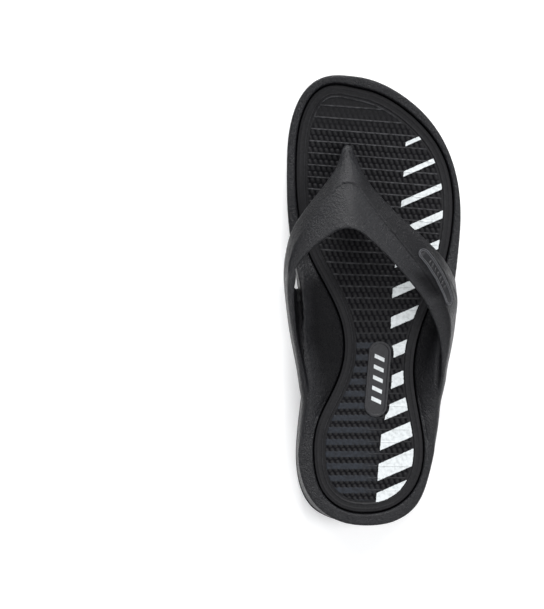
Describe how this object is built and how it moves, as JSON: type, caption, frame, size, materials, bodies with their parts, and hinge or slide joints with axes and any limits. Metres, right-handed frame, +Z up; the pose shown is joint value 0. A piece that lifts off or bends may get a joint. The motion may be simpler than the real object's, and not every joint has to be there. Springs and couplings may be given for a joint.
{
  "type": "flip flop",
  "caption": "Right-foot thong sandal with a moulded strap that runs into arch wings, a let-in footbed with slanted film stripes and a studded outsole.",
  "frame": {"origin": "on the ground under the middle of the sandal's bounding box", "axes": "+X to the outer (little toe) side, +Y to the toe, +Z up"},
  "size_m": [0.1108, 0.28, 0.0635],
  "materials": {
    "outsole_rubber": "satin moulded rubber with fine tread lines",
    "sole_foam": "matte moulded foam with a fine speckled grain",
    "footbed_foam": "matte moulded foam with ribs and a basket weave",
    "strap_foam": "matte moulded foam with a fine speckled grain",
    "badge_rubber": "satin moulded rubber",
    "white_film": "satin heat-bonded film"
  },
  "bodies": {
    "root": {"outsole": "outsole_rubber", "midsole": "sole_foam", "footbed": "footbed_foam", "strap": "strap_foam", "strap_badge": "strap_foam", "footbed_badge": "badge_rubber", "badge_motif": "white_film", "film_stripe_01": "white_film", "film_stripe_02": "white_film", "film_stripe_03": "white_film", "film_stripe_04": "white_film", "film_stripe_05": "white_film", "film_stripe_06": "white_film", "film_stripe_07": "white_film", "film_stripe_08": "white_film", "film_stripe_09": "white_film", "film_stripe_10": "white_film", "film_stripe_11": "white_film", "film_stripe_12": "white_film", "film_stripe_13": "white_film"}
  },
  "joints": []
}
